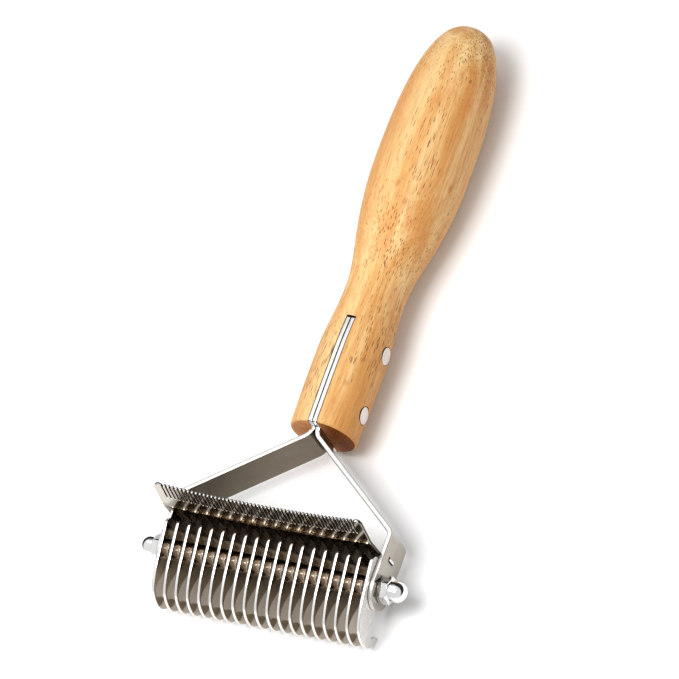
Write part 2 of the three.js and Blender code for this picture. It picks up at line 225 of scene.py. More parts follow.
def spline(points, steps):
    """A smooth open line through 2-D points, steps pieces between each two."""
    points = [Vector(p) for p in points]
    padded = [2 * points[0] - points[1], *points, 2 * points[-1] - points[-2]]
    line = []
    for i in range(1, len(padded) - 2):
        a, b, c, d = padded[i - 1 : i + 3]
        for k in range(steps):
            t = k / steps
            line.append(
                0.5 * (2 * b + (c - a) * t + (2 * a - 5 * b + 4 * c - d) * t**2
                       + (3 * b - a - 3 * c + d) * t**3)
            )
    return line + [points[-1]]


def turned(profile, sides, axis="Z", closed=False):
    """A body of revolution from (radius, height) points. Points on the axis become poles."""
    bm = bmesh.new()
    place = {"Z": lambda r, t, h: (r * math.sin(t), -r * math.cos(t), h),
             "X": lambda r, t, h: (h, r * math.sin(t), r * math.cos(t))}[axis]
    rings = []
    for radius, height in profile:
        if radius < 1e-6:
            rings.append([bm.verts.new(place(0, 0, height))])
        else:
            turns = [2 * math.pi * k / sides for k in range(sides)]
            rings.append([bm.verts.new(place(radius, t, height)) for t in turns])
    pairs = list(zip(rings, rings[1:]))
    if closed:
        pairs.append((rings[-1], rings[0]))
    for low, high in pairs:
        for k in range(sides):
            m = (k + 1) % sides
            if len(low) == 1:
                corners = [low[0], high[m], high[k]]
            elif len(high) == 1:
                corners = [low[k], low[m], high[0]]
            else:
                corners = [low[k], low[m], high[m], high[k]]
            bm.faces.new(corners)
    face_out(bm)
    return bm


def cut(bm, cutters):
    """Subtracts closed meshes from bm, exactly."""
    def temporary(name, part):
        mesh = bpy.data.meshes.new(name)
        part.to_mesh(mesh)
        part.free()
        made = bpy.data.objects.new(name, mesh)
        bpy.context.scene.collection.objects.link(made)
        return made

    body = temporary("cut_body", bm)
    knives = [temporary("cut_knife", part) for part in cutters]
    for knife in knives:
        modifier = body.modifiers.new("cut", "BOOLEAN")
        modifier.operation = "DIFFERENCE"
        modifier.solver = "EXACT"
        modifier.object = knife
    bpy.context.view_layer.update()
    result = bmesh.new()
    result.from_object(body, bpy.context.evaluated_depsgraph_get())
    for used in [body, *knives]:
        mesh = used.data
        bpy.data.objects.remove(used)
        bpy.data.meshes.remove(mesh)
    return result


def block(x0, x1, y0, y1, z0, z1):
    bm = bmesh.new()
    bmesh.ops.create_cube(bm, size=1)
    for v in bm.verts:
        v.co = Vector((x1 if v.co.x > 0 else x0, y1 if v.co.y > 0 else y0, z1 if v.co.z > 0 else z0))
    return bm


# ---- Materials ----


class Shader:
    """A procedural material, with its texture places in the tool's millimetres."""

    def __init__(self, name, roughness, metallic=0.0, specular=0.5):
        self.material = bpy.data.materials.new(name)
        self.material.use_nodes = True
        self.tree = self.material.node_tree
        self.shader = self.tree.nodes["Principled BSDF"]
        self.shader.inputs["Roughness"].default_value = roughness
        self.shader.inputs["Metallic"].default_value = metallic
        self.shader.inputs["Specular IOR Level"].default_value = specular
        place = self.node("ShaderNodeTexCoord").outputs["Object"]
        mapping = self.node("ShaderNodeMapping")
        self.tree.links.new(place, mapping.inputs["Vector"])
        location, rotation, scale = ROW_TO_TOOL.decompose()
        mapping.inputs["Location"].default_value = location
        mapping.inputs["Rotation"].default_value = rotation.to_euler()
        mapping.inputs["Scale"].default_value = scale
        self.place = mapping.outputs["Vector"]

    def node(self, kind, **settings):
        made = self.tree.nodes.new(kind)
        for key, value in settings.items():
            setattr(made, key, value)
        return made

    def feed(self, socket, value):
        if isinstance(value, bpy.types.NodeSocket):
            self.tree.links.new(value, socket)
        elif value is not None:
            socket.default_value = value

    def stretched(self, sx, sy, sz, place=None):
        """The place, times a factor along each of the tool's axes."""
        scaled = self.node("ShaderNodeVectorMath", operation="MULTIPLY")
        self.feed(scaled.inputs[0], place or self.place)
        scaled.inputs[1].default_value = (sx, sy, sz)
        return scaled.outputs[0]

    def noise(self, place, detail=2.0, roughness=0.5, distortion=0.0):
        made = self.node("ShaderNodeTexNoise")
        self.feed(made.inputs["Vector"], place)
        made.inputs["Scale"].default_value = 1
        made.inputs["Detail"].default_value = detail
        made.inputs["Roughness"].default_value = roughness
        made.inputs["Distortion"].default_value = distortion
        return made.outputs["Fac"]

    def cells(self, place, randomness=1.0):
        """Distance to the nearest of scattered points."""
        made = self.node("ShaderNodeTexVoronoi")
        self.feed(made.inputs["Vector"], place)
        made.inputs["Scale"].default_value = 1
        made.inputs["Randomness"].default_value = randomness
        return made.outputs["Distance"]

    def ramp(self, value, low, high, to_low=0.0, to_high=1.0):
        """value from low..high to to_low..to_high, held at the ends."""
        made = self.node("ShaderNodeMapRange", interpolation_type="SMOOTHSTEP")
        for name, given in (("Value", value), ("From Min", low), ("From Max", high)):
            self.feed(made.inputs[name], given)
        made.inputs["To Min"].default_value = to_low
        made.inputs["To Max"].default_value = to_high
        return made.outputs["Result"]

    def maths(self, operation, a, b=None):
        made = self.node("ShaderNodeMath", operation=operation)
        self.feed(made.inputs[0], a)
        self.feed(made.inputs[1], b)
        return made.outputs[0]

    def mix(self, factor, a, b, blend="MIX"):
        made = self.node("ShaderNodeMix", data_type="RGBA", blend_type=blend)
        self.feed(made.inputs["Factor"], factor)
        self.feed(made.inputs[6], (*a, 1) if isinstance(a, tuple) else a)
        self.feed(made.inputs[7], (*b, 1) if isinstance(b, tuple) else b)
        return made.outputs[2]

    def colour(self, value):
        self.feed(self.shader.inputs["Base Color"], (*value, 1) if isinstance(value, tuple) else value)

    def rough(self, value):
        self.feed(self.shader.inputs["Roughness"], value)

    def bump(self, height, strength, distance):
        made = self.node("ShaderNodeBump")
        self.feed(made.inputs["Height"], height)
        made.inputs["Strength"].default_value = strength
        made.inputs["Distance"].default_value = distance
        self.feed(self.shader.inputs["Normal"], made.outputs["Normal"])


def beech(name, end_grain=False):
    """Oiled beech: warm tan with soft streaks along the handle, and short dark pores and ray flecks. It
    carries painted shade towards the handle's sides, and on the end grain towards the right arm.
    """
    wood = Shader(name, roughness=0.5, specular=0.05 if end_grain else 0.18)
    bands = wood.noise(wood.stretched(0.16, 0.16, 0.011), detail=4, roughness=0.6, distortion=0.5)
    fibres = wood.noise(wood.stretched(2.2, 2.2, 0.09), detail=4, roughness=0.7)
    blotches = wood.noise(wood.stretched(0.12, 0.12, 0.06), detail=3)
    pale, tan, deep = (0.86, 0.61, 0.29), (0.70, 0.36, 0.115), (0.44, 0.155, 0.032)
    colour = wood.mix(wood.ramp(bands, 0.36, 0.64), pale, tan)
    # Painted shade: the colour darkens away from a middle line across the direction (0.94, 0.335, 0), wobbled
    # by the streaks, so the handle's two sides look shaded and its middle lit.
    sideways = wood.node("ShaderNodeVectorMath", operation="DOT_PRODUCT")
    wood.feed(sideways.inputs[0], wood.place)
    sideways.inputs[1].default_value = (0.94, 0.335, 0)
    wobble = wood.ramp(bands, 0.3, 0.7, -2, 6)
    from_lit_middle = wood.maths("ABSOLUTE", wood.maths("ADD", sideways.outputs["Value"], wobble))
    colour = wood.mix(wood.ramp(from_lit_middle, 3, 14, 0, 0.52), colour, (0.56, 0.235, 0.062))
    colour = wood.mix(wood.ramp(fibres, 0.44, 0.72, 0, 0.62), colour, deep)
    colour = wood.mix(wood.ramp(blotches, 0.54, 0.76, 0, 0.5), colour, (0.60, 0.22, 0.06))

    crowd = wood.noise(wood.stretched(0.10, 0.10, 0.03), detail=2)
    reach = wood.ramp(crowd, 0.36, 0.66, 0.08, 0.32)
    distance = wood.cells(wood.stretched(2.1, 2.1, 0.18))
    fleck = wood.maths("LESS_THAN", distance, reach)
    soft_fleck = wood.ramp(wood.maths("SUBTRACT", reach, distance), 0.0, 0.05)
    colour = wood.mix(wood.maths("MULTIPLY", soft_fleck, 0.85), colour, (0.15, 0.042, 0.008))
    pores = wood.ramp(wood.cells(wood.stretched(2.8, 2.8, 0.30)), 0.12, 0.28, 1, 0)
    colour = wood.mix(wood.maths("MULTIPLY", pores, 0.35), colour, (0.31, 0.11, 0.03))
    spots = wood.ramp(wood.cells(wood.stretched(0.13, 0.13, 0.10)), 0.05, 0.19, 1, 0)
    colour = wood.mix(wood.maths("MULTIPLY", spots, 0.5), colour, (0.47, 0.15, 0.04))
    if end_grain:
        rings = wood.noise(wood.stretched(0.5, 2.4, 0.3), detail=4, distortion=1.2)
        light_end = wood.mix(wood.ramp(rings, 0.35, 0.65), (0.78, 0.36, 0.15), (0.56, 0.20, 0.065))
        painted_shade_end = wood.mix(wood.ramp(rings, 0.35, 0.65), (0.26, 0.075, 0.014), (0.13, 0.033, 0.006))
        # Painted shade: the end face fades from the first colour to the second, darker one from x = -3 to 6
        # mm, as if shaded towards the right arm.
        across = wood.node("ShaderNodeSeparateXYZ")
        wood.feed(across.inputs[0], wood.place)
        colour = wood.mix(wood.ramp(across.outputs[0], -3, 6), light_end, painted_shade_end)
    wood.colour(colour)
    wood.rough(wood.ramp(fibres, 0.25, 0.8, 0.44, 0.60))
    relief = wood.maths("SUBTRACT", wood.maths("MULTIPLY", fibres, 0.35), fleck)
    wood.bump(relief, 0.25, 0.00006)
    return wood.material


def slot_painted_shade():
    """The saw cut that holds the tangs: near-black, painted shade deep in the narrow cut, with saw marks."""
    wood = Shader("slot_painted_shade", roughness=0.8, specular=0.2)
    marks = wood.noise(wood.stretched(2, 0.6, 5), detail=3, roughness=0.7)
    wood.colour(wood.mix(marks, (0.035, 0.017, 0.009), (0.075, 0.035, 0.016)))
    wood.bump(marks, 0.4, 0.0001)
    return wood.material


def steel(name, colour, roughness, scratch_along=(0.2, 6, 6), smudge=0.05, relief=0.05, ends=None):
    """Polished steel: fine scratches along one direction, and soft smudges in the gloss. ends is a lighter
    colour it takes towards both ends of the axle: painted light."""
    metal = Shader(name, roughness=roughness, metallic=1.0)
    scratches = metal.noise(metal.stretched(*scratch_along), detail=3, roughness=0.7)
    smudges = metal.noise(metal.stretched(0.13, 0.13, 0.13), detail=3, roughness=0.6, distortion=0.6)
    dull = tuple(c * 0.86 for c in colour)
    shade = metal.mix(metal.ramp(smudges, 0.35, 0.75), colour, dull)
    # Painted light: the colour lightens to ends from 27 to 35 mm out along the axle.
    if ends:
        across = metal.node("ShaderNodeSeparateXYZ")
        metal.feed(across.inputs[0], metal.place)
        shade = metal.mix(metal.ramp(metal.maths("ABSOLUTE", across.outputs[0]), 27, 35), shade, ends)
    metal.colour(shade)
    gloss = metal.maths("ADD", metal.ramp(scratches, 0.3, 0.75, roughness * 0.8, roughness * 1.25),
                        metal.ramp(smudges, 0.45, 0.8, 0, smudge))
    metal.rough(gloss)
    metal.bump(scratches, relief, 0.00002)
    return metal.material


beech_side = beech("oiled_beech")
beech_end = beech("beech_end_grain", end_grain=True)
slot_shade = slot_painted_shade()
strap_face = steel("polished_strap", (0.42, 0.38, 0.33), 0.10, scratch_along=(3, 0.3, 0.3))
# Painted shade: the arms' inner faces, towards the blades, are a darker copy of the polished strap steel.
strap_inside_shade = steel("strap_inside_shade", (0.17, 0.138, 0.102), 0.16, scratch_along=(3, 0.3, 0.3))
# Painted shade: near-black steel for the narrow seam between the two tangs and the ring round each rivet
# head.
painted_seam_shade = steel("painted_seam_shade", (0.03, 0.03, 0.035), 0.45, scratch_along=(6, 6, 0.4))
strap_edge = steel("ground_strap_edge", (0.93, 0.92, 0.90), 0.22, scratch_along=(6, 6, 0.4))
# Painted shade: the faces between the blades are a darker, browner copy of the steel of the blades' outer
# faces.
blade_face_shaded = steel("polished_blade", (0.52, 0.45, 0.37), 0.08, scratch_along=(3, 0.35, 2))
# Painted shade: blade faces turned to -X are darker still.
blade_back_shade = steel("blade_back_shade", (0.38, 0.315, 0.245), 0.08, scratch_along=(3, 0.35, 2))
blade_outside = steel("blade_outside", (0.66, 0.64, 0.62), 0.30, scratch_along=(3, 0.35, 2))
blade_edge = steel("ground_blade_edge", (0.95, 0.94, 0.92), 0.20, scratch_along=(0.5, 5, 5))
# Painted light and shade: the comb's slope in front of the fold is a dark copy of the steel, painted shade,
# lightening towards both ends, painted light.
comb_face_shaded = steel("polished_comb_shaded", (0.30, 0.255, 0.205), 0.09, scratch_along=(0.3, 4, 4),
                  ends=(0.56, 0.52, 0.46))
# Painted shade: the plate behind the fold is a darker copy still.
comb_back_shade = steel("comb_back_shade", (0.12, 0.095, 0.072), 0.12, scratch_along=(0.3, 4, 4))
comb_edge = steel("comb_edge", (0.93, 0.92, 0.90), 0.18, scratch_along=(5, 5, 5))
# Painted shade: the walls between the teeth and the plate's side ends are near-black.
comb_cut_shade = steel("comb_cut_shade", (0.07, 0.058, 0.045), 0.35, scratch_along=(5, 5, 0.5))
collar_steel = steel("turned_collar", (0.92, 0.88, 0.85), 0.11, scratch_along=(8, 0.6, 0.6))
nut_chrome = steel("bright_chrome", (0.92, 0.92, 0.91), 0.05, smudge=0.03, relief=0.02)
washer_steel = steel("dull_washer", (0.34, 0.32, 0.29), 0.2, scratch_along=(0.5, 5, 5))
rod_steel = steel("threaded_rod", (0.50, 0.49, 0.47), 0.28, scratch_along=(8, 1, 1))
rivet_steel = steel("peened_rivet", (0.64, 0.59, 0.56), 0.34, scratch_along=(1, 4, 4), relief=0.12)

# ---- Handle ----

SLOT_HALF_WIDTH = 1.62
SLOT_TOP = TANG_TOP + 0.8
RIM_RADIUS = 1.1
LOWER_RADIUS = 11.05
WAIST_HEIGHT, WAIST_RADIUS = HANDLE_BOTTOM + 50, 9.8
WAIST_EASE = 8  # how far the outline stays upright into and out of each curve
SWELL_START, SWELL_END = 12, 24
WIDEST = HANDLE_BOTTOM + 96
DOME_POWER = 2.6
DOME_STEPS = 40
BARREL_RADIUS = 11.35


def dome_outline():
    """The round end's outline above the widest place, a quarter superellipse."""
    points = []
    for k in range(1, DOME_STEPS + 1):
        turn = math.pi / 2 * k / DOME_STEPS
        across = 0 if k == DOME_STEPS else math.cos(turn) ** (2 / DOME_POWER)
        along = math.sin(turn) ** (2 / DOME_POWER)
        points.append((GRIP_RADIUS * across, WIDEST + (HANDLE_TOP - WIDEST) * along))
    return points


def upright_curve(start, stop, leaving, arriving, steps=24):
    """A Bezier curve between two (radius, height) places, upright for a while at both ends."""
    (r0, z0), (r1, z1) = start, stop
    points = []
    for k in range(1, steps + 1):
        t = k / steps
        across = t * t * (3 - 2 * t)
        along = 3 * (1 - t) ** 2 * t * leaving + 3 * (1 - t) * t * t * (z1 - z0 - arriving)
        points.append((r0 + (r1 - r0) * across, z0 + along + t ** 3 * (z1 - z0)))
    return points


def handle_side():
    """The turned side from just above the lower rim to the round top, as (radius, height)."""
    low = HANDLE_BOTTOM
    barrel_top = (BARREL_RADIUS, low + 27)
    waist = (WAIST_RADIUS, WAIST_HEIGHT)
    points = [(LOWER_RADIUS, low + RIM_RADIUS), (BARREL_RADIUS, low + 15), barrel_top]
    points += upright_curve(barrel_top, waist, WAIST_EASE, WAIST_EASE)
    points += upright_curve(waist, (GRIP_RADIUS, WIDEST), SWELL_START, SWELL_END)
    return [Vector(place) for place in points + dome_outline()]


SIDE = handle_side()


def handle_radius(z):
    for low, high in zip(SIDE, SIDE[1:]):
        if low.y <= z <= high.y:
            return low.x + (high.x - low.x) * (z - low.y) / (high.y - low.y)
    return SIDE[0].x


def make_handle():
    face_radius = LOWER_RADIUS - RIM_RADIUS
    rim = arc(face_radius, HANDLE_BOTTOM + RIM_RADIUS, RIM_RADIUS, -90, 0, 6)[:-1]
    face = [(face_radius * k / 4, HANDLE_BOTTOM) for k in range(4)]
    body = turned([*face, *rim, *SIDE[:-1], (0, HANDLE_TOP)], 144)
    reach = 2 * GRIP_RADIUS
    bore = RIVET_RADIUS + 0.1
    slot = block(-SLOT_HALF_WIDTH, SLOT_HALF_WIDTH, -reach, reach, HANDLE_BOTTOM - 5, SLOT_TOP)
    knives = [slot]
    for height in RIVET_HEIGHTS:
        hole = turned([(0, -reach), (bore, -reach), (bore, reach), (0, reach)], 48, "X")
        hole.transform(Matrix.Translation((0, 0, height)))
        knives.append(hole)
    body = cut(body, knives)
    body.normal_update()
    mark_edges(body)

    def pick(face):
        centre = face.calc_center_median()
        # The slot's walls and top take the near-black painted shade.
        wall = abs(face.normal.x) > 0.99 and abs(centre.x) < SLOT_HALF_WIDTH + 0.01
        if wall or (face.normal.z < -0.99 and centre.z > SLOT_TOP - 0.01):
            return 2
        return 1 if face.normal.z < -0.9 else 0

    made = piece("turned_handle", body, [beech_side, beech_end, slot_shade], pick)
    stand_in(made, "rake", "handle_wood", "handle")


# ---- Yoke arms: flat blanks, bent ----


class BentLine:
    """A line of straight stretches joined by arcs, in X and Z, measured along its length."""

    def __init__(self, corners, radii):
        self.parts = []
        self.bends = []
        here, length = Vector(corners[0]), 0
        for corner, following, radius in zip(corners[1:], corners[2:], radii):
            corner = Vector(corner)
            before = (corner - here).normalized()
            after = (Vector(following) - corner).normalized()
            turn = math.atan2(before.x * after.y - before.y * after.x, before.dot(after))
            start = corner - before * radius * math.tan(abs(turn) / 2)
            straight = (start - here).length
            self.parts.append((length, here, before, 0, 0))
            length += straight
            self.parts.append((length, start, before, math.copysign(radius, turn), turn))
            self.bends.append((length, length + radius * abs(turn)))
            length += radius * abs(turn)
            here = corner + after * radius * math.tan(abs(turn) / 2)
        direction = (Vector(corners[-1]) - here).normalized()
        self.parts.append((length, here, direction, 0, 0))

    def at(self, s):
        """Place and left-hand normal at s."""
        reached = [part for part in self.parts if s >= part[0]] or self.parts[:1]
        start, place, way, radius, turn = reached[-1]
        normal = Vector((-way.y, way.x))
        if not turn:
            return place + way * (s - start), normal
        angle = (s - start) / radius
        centre = place + normal * radius
        spin = Matrix.Rotation(angle, 2)
        return centre + spin @ (-normal * radius), spin @ normal


NECK_Z, NECK_RADIUS = HANDLE_BOTTOM - 2.2, 4.3
SHOULDER_Z, SHOULDER_RADIUS = 16.85, 2.6
TANG_GAP = 0.06
AXLE_BORE_RADIUS = 2.6
COMB_REAR = Vector((7.3, 9.65))
COMB_FOLD = Vector((-15, 8.65))
COMB_CORNER = Vector((-27.4, 10.1))
TAB_Y, TAB_WIDTH = -1, 4
COMB_SLOPE = (COMB_REAR.y - COMB_FOLD.y) / (COMB_REAR.x - COMB_FOLD.x)
TAB_Z = COMB_FOLD.y + (TAB_Y - COMB_FOLD.x) * COMB_SLOPE


def rounded_slot(s0, s1, y0, y1, radius):
    """A slot's loop, clockwise."""
    low_s, high_s, low_y, high_y = s0 + radius, s1 - radius, y0 + radius, y1 - radius
    loop = []
    for k, centre in enumerate(((high_s, low_y), (low_s, low_y), (low_s, high_y), (high_s, high_y))):
        loop.extend(arc(*centre, radius, -90 * k, -90 * k - 90, 4))
    return loop


def arm_blank(leg_start):
    """The strap before bending, in distance along it and Y: a tang as wide as the handle, the narrower
    strap, and a round end."""
    step = TANG_TOP - HANDLE_BOTTOM
    edge = []
    for k in range(21):
        s = step * k / 20
        edge.append(Vector((s, math.sqrt(handle_radius(TANG_TOP - s) ** 2 - ARM_THICKNESS**2) - 0.04)))
    edge[-1].x -= 0.6
    edge.extend(arc(step - 0.6, edge[-1].y - 0.6, 0.6, 90, 0, 4)[1:])
    edge.append(Vector((step, ARM_HALF_WIDTH + 0.5)))
    edge.extend(arc(step + 0.5, ARM_HALF_WIDTH + 0.5, 0.5, 180, 270, 4)[1:])
    lower = [Vector((p.x, -p.y)) for p in edge]
    tip = arc(leg_start, 0, ARM_HALF_WIDTH, -90, 90, 36)
    outline = lower + tip + edge[::-1]
    holes = [circle(TANG_TOP - z, 0, RIVET_RADIUS + 0.05) for z in RIVET_HEIGHTS]
    holes.append(circle(leg_start, 0, AXLE_BORE_RADIUS))
    slot_s = leg_start - TAB_Z
    reach = TAB_WIDTH / 2 + 0.15
    slot = rounded_slot(slot_s - 0.7, slot_s + 0.7, TAB_Y - reach, TAB_Y + reach, 0.4)
    return [outline, *holes, slot]


def make_arm(side, name, node):
    tang_x = (TANG_GAP + ARM_THICKNESS) / 2
    leg_x = ARM_OUTER_X - ARM_THICKNESS / 2
    corners = [(tang_x, TANG_TOP), (tang_x, NECK_Z), (leg_x, SHOULDER_Z), (leg_x, -20)]
    line = BentLine(corners, [NECK_RADIUS, SHOULDER_RADIUS])
    last_start, last_place = line.parts[-1][0], line.parts[-1][1]
    leg_start = last_start + last_place.y
    bm, _ = plate(arm_blank(leg_start), ARM_THICKNESS, 0.18)
    for start, stop in line.bends:
        margin = 0.6
        count = 14
        places = [start + (stop - start) * k / count for k in range(count + 1)]
        slice_across(bm, 0, [start - margin, *places, stop + margin])
    caps = caps_of(bm, ARM_THICKNESS / 2)
    mark_edges(bm, caps)
    tang_length = TANG_TOP - HANDLE_BOTTOM
    for face in bm.faces:
        in_tang = face.calc_center_median().x < tang_length
        bevel = 0.1 < abs(face.normal.z) < 0.99
        if abs(face.normal.z) < 0.1:
            face.material_index = 1
        # Bevels in the tang take the near-black steel: painted shade in the seam between the two tangs.
        elif in_tang and bevel:
            face.material_index = 3
        else:
            # Inner faces, turned to the blades, take the darker copy: painted shade.
            face.material_index = 2 if face.normal.z < 0 else 0
    for v in bm.verts:
        place, normal = line.at(v.co.x)
        bent = place + normal * v.co.z
        v.co = Vector((side * bent.x, v.co.y, bent.y))
    face_out(bm)
    made = piece(name, bm, [strap_face, strap_edge, strap_inside_shade, painted_seam_shade])
    stand_in(made, "rake", "arm_steel", node)


# ---- Blades ----

BLADE_THICKNESS = 1.0


def blade_loops():
    """The hooked outline from its top front corner round the hook, as (Y, Z), and the axle's hole."""
    face = [(-8, 7.3), (-9.3, 6.5), (-10.2, 4.6), (-8.9, -0.4), (-7.7, -4.6), (-6.3, -9.1)]
    hook = [(-3.2, -14.5), (-0.3, -16.7), (3.8, -17.8), (7.7, -17.3), (10.8, -15.1), (11.9, -12.8)]
    inside = [(10.5, -12), (9.3, -12.7), (7.9, -13.8), (5.6, -13.6), (4.3, -12), (4.3, -9.4)]
    front = spline(face + hook, 6)
    tip = arc(11.38, -12.45, 0.5, -15, 150, 6)
    throat = spline([*inside, (5.7, -5.2), (7, 0)], 6)
    top = [Vector((7, 7.6))]
    outline = front[:-1] + tip + throat + top
    return [outline, circle(0, 0, AXLE_BORE_RADIUS)]


def blade_mesh():
    bm, _ = plate(blade_loops(), BLADE_THICKNESS, 0.16)
    mark_edges(bm, caps_of(bm, BLADE_THICKNESS / 2))
    bm.normal_update()
    for face in bm.faces:
        ground = abs(face.normal.z) < 0.1 and face.normal.y < 0.6
        face.material_index = 1 if ground else 0
    for v in bm.verts:
        v.co = Vector((v.co.z, v.co.x, v.co.y))
    face_out(bm)
    return bm


def make_blades():
    pattern = blade_mesh()
    nodes = sorted(n for n in frame["nodes"] if n.startswith("blade_"))
    for node in nodes:
        copy = pattern.copy()
        copy.transform(Matrix.Translation((sum(span(node, X)) / 2, 0, 0)))
        copy.normal_update()
        outward = {nodes[0]: -1, nodes[-1]: 1}.get(node, 0)
        for face in copy.faces:
            # The end blades' outward faces take the plain steel; faces turned to -X take the darkest copy,
            # painted shade.
            if face.normal.x * outward > 0.9:
                face.material_index = 2
            elif face.normal.x < -0.9:
                face.material_index = 3
        made = piece("hooked_" + node, copy, [blade_face_shaded, blade_edge, blade_outside, blade_back_shade])
        stand_in(made, "rake", "blade_steel", node)
    pattern.free()


# ---- Spacers, rod, washers, nuts and rivets ----


def ring_profile(inner, outer, low, high, bevel):
    """A closed ring section with rounded outer edges and broken inner edges."""
    return [
        (inner, low + bevel / 2),
        (inner + bevel / 2, low),
        *[tuple(p) for p in arc(outer - bevel, low + bevel, bevel, -90, 0, 4)],
        *[tuple(p) for p in arc(outer - bevel, high - bevel, bevel, 0, 90, 4)],
        (inner + bevel / 2, high),
        (inner, high - bevel / 2),
    ]


def make_spacers():
    for node in sorted(n for n in frame["nodes"] if n.startswith("spacer_")):
        low, high = span(node, X)
        bm = turned(ring_profile(2.65, 3.25, low + 0.01, high - 0.01, 0.18), 56, "X", closed=True)
        mark_edges(bm)
        made = piece("turned_" + node, bm, [collar_steel])
        stand_in(made, "rake", "spacer_steel", node)


def make_rod():
    """A plain shank with M5 thread on both ends, where the cap nuts run."""
    pitch, depth, radius, sides = 0.8, 0.42, 2.5, 36
    thread_from = ARM_INNER_X - 4
    bm = bmesh.new()
    steps = 8
    half = [0, thread_from]
    count = int((ROD_HALF_LENGTH - 0.5 - thread_from) / pitch * steps)
    half += [thread_from + (k + 1) * pitch / steps for k in range(count)]
    places = [-x for x in reversed(half[1:])] + half

    def radius_at(x, turn):
        if abs(x) <= thread_from:
            return radius - 0.06
        phase = (abs(x) / pitch - turn / (2 * math.pi) * (1 if x > 0 else -1)) % 1
        groove = min(1, 1.4 * abs(2 * phase - 1))
        fade = min(1, (abs(x) - thread_from) / pitch)
        return radius - depth * (1 - groove) * fade - 0.02

    def ring_vertex(x, turn):
        radius_here = radius_at(x, turn)
        return bm.verts.new((x, radius_here * math.sin(turn), radius_here * math.cos(turn)))

    turns = [2 * math.pi * k / sides for k in range(sides)]
    rings = [[ring_vertex(x, turn) for turn in turns] for x in places]
    for low, high in zip(rings, rings[1:]):
        loops_to_faces(bm, low, high)
    for ring, x in ((rings[0], -ROD_HALF_LENGTH), (rings[-1], ROD_HALF_LENGTH)):
        rim = [bm.verts.new((x, v.co.y * 0.75, v.co.z * 0.75)) for v in ring]
        loops_to_faces(bm, ring, rim)
        bm.faces.new(rim)
    face_out(bm)
    mark_edges(bm)
    made = piece("threaded_axle", bm, [rod_steel])
    stand_in(made, "rake", "rod_steel", "axle_rod")


def make_washer(side, name, node, body):
    bm = turned(ring_profile(2.65, 4.4, WASHER_SEAT, WASHER_OUT, 0.12), 72, "X", closed=True)
    if side < 0:
        bm.transform(Matrix.Rotation(math.pi, 4, "Z"))
    mark_edges(bm)
    made = piece(name, bm, [washer_steel])
    stand_in(made, body, "washer_steel", node)


def make_cap_nut(side, name, node, body):
    """A hexagon with turned chamfers, a small shoulder, and a round dome over a blind bore."""
    sides, flat, dome_radius, hex_height = 96, 4.0, 3.45, 2.8
    corner = flat / math.cos(math.pi / 6)
    length = NUT_TIP - NUT_SEAT
    shoulder = length - dome_radius

    def hexagon(turn):
        return flat / math.cos(turn % (math.pi / 3) - math.pi / 6)

    slope = math.tan(math.radians(30))
    stations = []
    for x in (0, 0.1, 0.2, 0.3, 0.4):
        stations.append((x, lambda t, x=x: min(hexagon(t), flat - 0.08 + x / slope)))
    for x in (hex_height - 0.4, hex_height - 0.3, hex_height - 0.2, hex_height - 0.1, hex_height):
        stations.append((x, lambda t, x=x: min(hexagon(t), flat - 0.08 + (hex_height - x) / slope)))
    for radius, x in ((dome_radius + 0.12, hex_height + 0.04), (dome_radius, hex_height + 0.2),
                      (dome_radius, (hex_height + shoulder) / 2), (dome_radius, shoulder)):
        stations.append((x, lambda t, r=radius: r))
    for k in range(1, 14):
        turn = math.pi / 2 * k / 14
        height, share = shoulder + dome_radius * math.sin(turn), math.cos(turn)
        stations.append((height, lambda t, share=share: dome_radius * share))
    bm = bmesh.new()
    turns = [2 * math.pi * k / sides for k in range(sides)]

    def ring(x, radius):
        return [bm.verts.new((NUT_SEAT + x, radius(t) * math.sin(t), radius(t) * math.cos(t))) for t in turns]

    rings = [ring(x, radius) for x, radius in stations]
    mouth = ring(0, lambda t: 3.0)
    throat = ring(0.35, lambda t: 2.65)
    floor = ring(6, lambda t: 2.65)
    for low, high in [*zip(rings, rings[1:]), (mouth, rings[0]), (throat, mouth), (floor, throat)]:
        loops_to_faces(bm, low, high)
    tip = bm.verts.new((NUT_TIP, 0, 0))
    inner = bm.verts.new((NUT_SEAT + 6.4, 0, 0))
    for k in range(sides):
        m = (k + 1) % sides
        bm.faces.new((rings[-1][k], rings[-1][m], tip))
        bm.faces.new((floor[m], floor[k], inner))
    face_out(bm)
    bm.transform(Matrix.Rotation(math.radians(side * NUT_TURN), 4, "X"))
    if side < 0:
        bm.transform(Matrix.Rotation(math.pi, 4, "Z"))
    mark_edges(bm)
    made = piece(name, bm, [nut_chrome])
    stand_in(made, body, "nut_chrome", node)


def make_rivets():
    # Rim faces take the near-black seam steel: a painted shade ring round each head.
    def on_rim(face):
        return int(abs(face.normal.x) < 0.9)

    for node, height in zip(("rivet_lower", "rivet_upper"), RIVET_HEIGHTS):
        half, bevel = RIVET_HALF_LENGTH, 0.3
        rim = arc(RIVET_RADIUS - bevel, half - bevel - 0.03, bevel, 90, 0, 4)
        end = [(0, half), (1.6, half - 0.01), *[tuple(p) for p in rim]]
        profile = [(r, -h) for r, h in end] + [(r, h) for r, h in reversed(end)]
        bm = turned(profile, 56, "X")
        bm.transform(Matrix.Translation((0, 0, height)))
        mark_edges(bm)
        made = piece("flush_" + node, bm, [rivet_steel, painted_seam_shade], on_rim)
        stand_in(made, "rake", "rivet_steel", node)


# ---- Comb plate ----

COMB_HALF_WIDTH = ARM_INNER_X - 0.2
COMB_THICKNESS = 1.0
COMB_HOLLOW = 3.2
TOOTH_LENGTH, TOOTH_PITCH, TOOTH_GAP, GAP_COUNT = 6.7, 1.33, 0.55, 51
CORNER_RADIUS = 1.8
FOLD_RADIUS = 6


